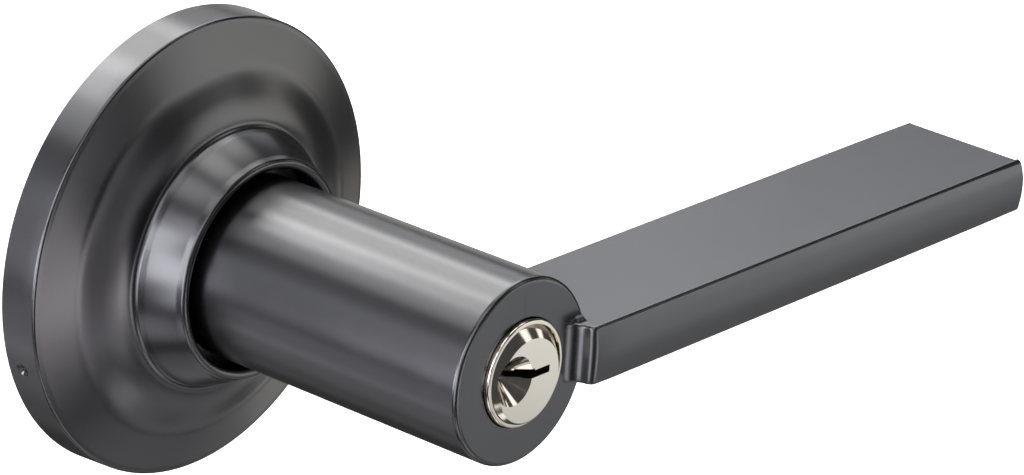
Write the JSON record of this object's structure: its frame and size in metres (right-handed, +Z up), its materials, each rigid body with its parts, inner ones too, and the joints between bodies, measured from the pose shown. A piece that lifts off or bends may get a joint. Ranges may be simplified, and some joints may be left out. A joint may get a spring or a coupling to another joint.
{
  "type": "keyed entry door lever",
  "caption": "Outside half of a keyed entry lever set: round stepped rose, straight flat-bladed lever, key cylinder in the hub, spring cage, drive spindle and tailpiece.",
  "frame": {"origin": "centre of the rose's face that lies on the door, on the lever's axis", "axes": "+X along the lever's blade, +Y into the door along the lever's axis, +Z up"},
  "size_m": [0.1712, 0.113, 0.0808],
  "materials": {
    "satin_graphite": "satin metallic dark graphite coating",
    "zinc_steel": "zinc-plated steel",
    "spring_steel": "oiled spring steel",
    "bronze": "sintered bronze",
    "brass": "drawn brass",
    "nickel": "polished warm nickel plating"
  },
  "bodies": {
    "rose": {"rose_cover": "satin_graphite", "mounting_plate": "zinc_steel", "mounting_posts": "zinc_steel", "spring_cage": "zinc_steel", "cage_screws": "zinc_steel", "neck_bush": "bronze", "return_spring": "spring_steel"},
    "lever": {"lever_handle": "satin_graphite", "drive_sleeve": "zinc_steel", "spring_driver": "zinc_steel", "sleeve_circlip": "spring_steel", "thrust_washer": "zinc_steel", "drive_spindle": "zinc_steel", "spindle_pins": "zinc_steel", "catch_bridge": "zinc_steel", "catch_spring": "spring_steel", "cylinder_retainer": "zinc_steel", "cylinder_housing": "nickel", "chamber_cap": "brass", "pin_springs": "spring_steel"},
    "catch": {"lever_catch": "zinc_steel"},
    "plug": {"cylinder_plug": "nickel", "plug_cap": "brass", "tailpiece": "zinc_steel"},
    "key_pins": {"key_pins": "brass"},
    "driver_pins": {"driver_pins": "brass"}
  },
  "joints": [
    {"name": "lever_turn", "type": "hinge", "parent": "rose", "child": "lever", "pos_m": [0, 0, 0], "axis": [0, 1, 0], "range_deg": [-45, 45], "stiffness_Nm_per_rad": 2, "springref_deg": -4.58, "deforming": ["return_spring"]},
    {"name": "plug_turn", "type": "hinge", "parent": "lever", "child": "plug", "pos_m": [0, -0.06, 0], "axis": [0, 1, 0], "range_deg": [-90, 90]},
    {"name": "catch_press", "type": "slide", "parent": "lever", "child": "catch", "axis": [0, 0, 1], "range_m": [0, 0.0015], "stiffness_N_per_m": 400, "deforming": ["catch_spring"]},
    {"name": "drivers_lift", "type": "slide", "parent": "lever", "child": "driver_pins", "axis": [1, 0, 0], "range_m": [0, 0.0012], "stiffness_N_per_m": 200, "deforming": ["pin_springs"]},
    {"name": "key_pins_drop", "type": "slide", "parent": "plug", "child": "key_pins", "axis": [-1, 0, 0], "range_m": [0, 0.0008]}
  ]
}
